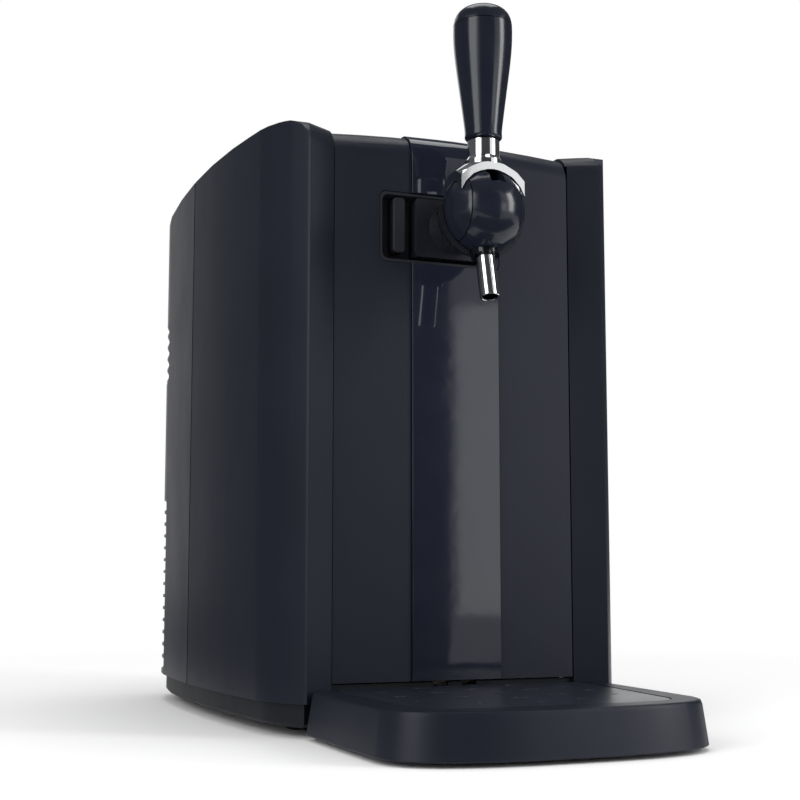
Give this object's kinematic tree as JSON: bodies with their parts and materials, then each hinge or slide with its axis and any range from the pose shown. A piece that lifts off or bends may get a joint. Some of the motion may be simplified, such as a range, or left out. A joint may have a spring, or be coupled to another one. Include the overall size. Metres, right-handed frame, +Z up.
{
  "type": "beer keg dispenser",
  "caption": "Counter-top keg beer dispenser with a hinged front door, tap with chrome saddle and tapered handle, slide-in drip tray, cooled keg chamber and air pump.",
  "frame": {"origin": "on the table, under the middle of the footprint from the front of the drip tray to the rear cover", "axes": "+Z up, the tap and the drip tray face -Y, +X is to the right of someone who stands in front"},
  "size_m": [0.2606, 0.494, 0.4375],
  "materials": {
    "satin_navy": "satin moulded plastic, fine grain",
    "gloss_navy": "polished plastic",
    "gloss_black": "polished plastic",
    "dark_plastic": "moulded plastic",
    "grey_plastic": "moulded plastic",
    "chrome": "polished",
    "steel": "brushed",
    "aluminium": "extruded",
    "rubber": "moulded",
    "foam": "foamed insulation",
    "ceramic": "fired plate",
    "board": "laminate with fitted parts"
  },
  "bodies": {
    "casing": {"side_panel_left": "satin_navy", "side_panel_right": "satin_navy", "roof_cover": "satin_navy", "rear_cover": "satin_navy", "base_pan": "dark_plastic", "front_frame": "steel", "chamber_liner": "grey_plastic", "chamber_insulation": "foam", "keg_seat": "rubber", "cold_plate": "aluminium", "cooler_module": "ceramic", "heat_sink": "aluminium", "fan_frame": "dark_plastic", "power_supply": "steel", "control_board": "board", "power_inlet": "dark_plastic", "switch_frame": "dark_plastic", "air_pump": "dark_plastic", "air_hose": "rubber", "coupler_guide": "grey_plastic", "hinge_bracket": "steel", "hinge_pin_top": "steel", "hinge_pin_bottom": "steel", "foot_1": "rubber", "foot_2": "rubber", "foot_3": "rubber", "foot_4": "rubber"},
    "door": {"door_panel": "satin_navy", "strip_lower": "gloss_navy", "strip_upper": "gloss_navy", "door_insulation": "foam", "door_liner": "grey_plastic", "door_gasket": "rubber", "display_board": "board", "grip_cup": "gloss_black", "grip_block": "dark_plastic", "tap_neck": "gloss_black", "tap_body": "gloss_navy", "tap_cap_left": "gloss_navy", "tap_cap_right": "gloss_navy", "tap_axle": "steel", "spout": "chrome", "spout_collar": "gloss_black"},
    "tap_handle": {"tap_lever": "steel", "tap_saddle": "chrome", "handle_grip": "gloss_navy", "handle_cap": "gloss_navy"},
    "drip_tray": {"drip_tray": "satin_navy", "tray_floor": "dark_plastic", "tray_pad_1": "rubber", "tray_pad_2": "rubber", "tray_pad_3": "rubber", "tray_pad_4": "rubber"},
    "drip_grid": {"drip_grid": "dark_plastic"},
    "fan": {"fan_rotor": "dark_plastic"},
    "switch_rocker": {"switch_rocker": "gloss_black"},
    "keg_coupler": {"keg_coupler": "dark_plastic"}
  },
  "joints": [
    {"name": "door_hinge", "type": "hinge", "parent": "casing", "child": "door", "pos_m": [0.0736, -0.0869, 0.2], "axis": [0, 0, 1], "range_deg": [0, 95]},
    {"name": "tap_pull", "type": "hinge", "parent": "door", "child": "tap_handle", "pos_m": [0, -0.1362, 0.3103], "axis": [1, 0, 0], "range_deg": [0, 50]},
    {"name": "tray_slide", "type": "slide", "parent": "casing", "child": "drip_tray", "axis": [0, -1, 0], "range_m": [0, 0.16]},
    {"name": "grid_lift", "type": "slide", "parent": "drip_tray", "child": "drip_grid", "axis": [0, 0, 1], "range_m": [0, 0.03]},
    {"name": "fan_spin", "type": "hinge", "parent": "casing", "child": "fan", "pos_m": [0, 0.1785, 0.26], "axis": [0, 1, 0], "continuous": true},
    {"name": "switch_rock", "type": "hinge", "parent": "casing", "child": "switch_rocker", "pos_m": [-0.038, 0.2426, 0.196], "axis": [1, 0, 0], "range_deg": [-10, 10]},
    {"name": "coupler_press", "type": "slide", "parent": "casing", "child": "keg_coupler", "axis": [0, 0, -1], "range_m": [0, 0.015]}
  ]
}
